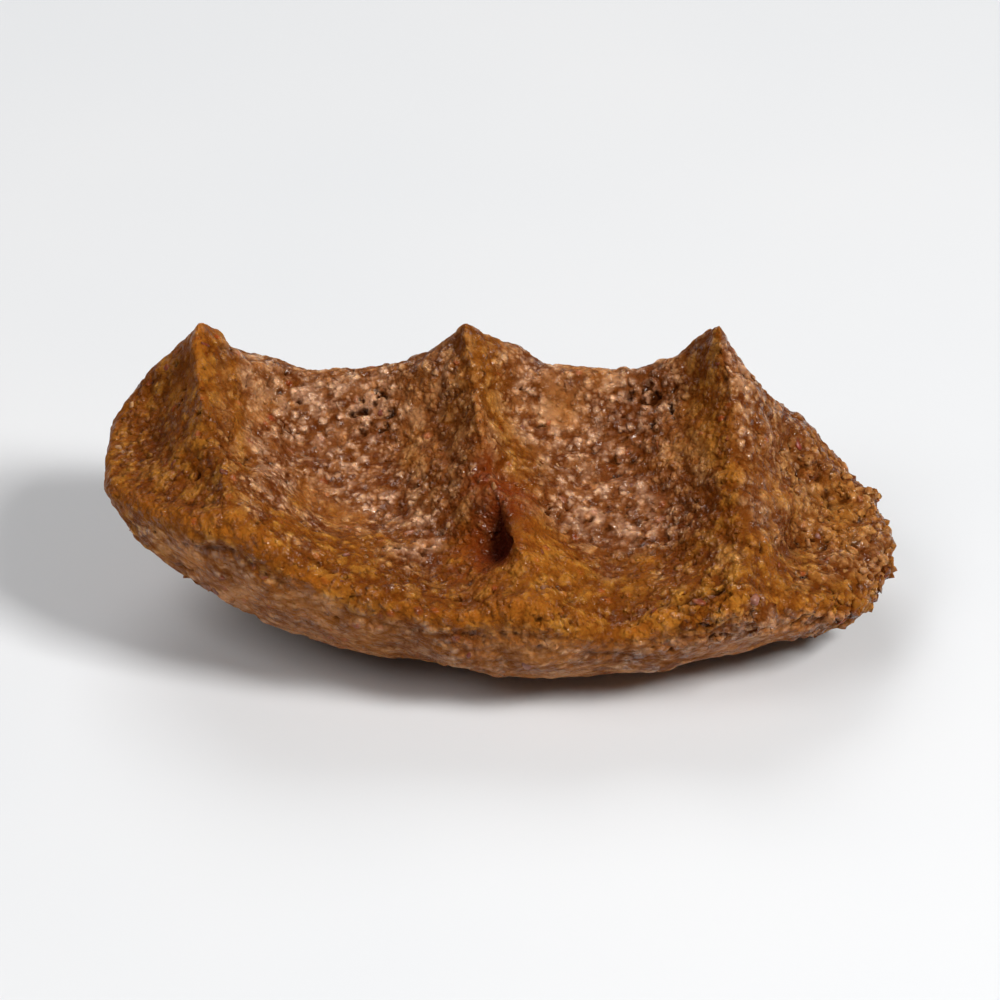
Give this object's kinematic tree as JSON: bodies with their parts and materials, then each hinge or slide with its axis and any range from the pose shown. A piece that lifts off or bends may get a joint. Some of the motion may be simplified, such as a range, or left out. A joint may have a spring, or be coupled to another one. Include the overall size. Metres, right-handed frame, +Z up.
{
  "type": "cig kofte",
  "caption": "Hand-squeezed piece of cig kofte, a dense bulgur paste, with finger dents and sharp ridges across its top and a rounded palm side.",
  "frame": {"origin": "on the resting plane, under the middle of the piece's bounding box", "axes": "+X along the piece from its high end to its low end, +Y from the lip towards the back, +Z up"},
  "size_m": [0.0592, 0.0306, 0.0214],
  "materials": {
    "bulgur_paste": "moist, finely grained, with many small wet highlights"
  },
  "bodies": {
    "root": {"kofte": "bulgur_paste"}
  },
  "joints": []
}
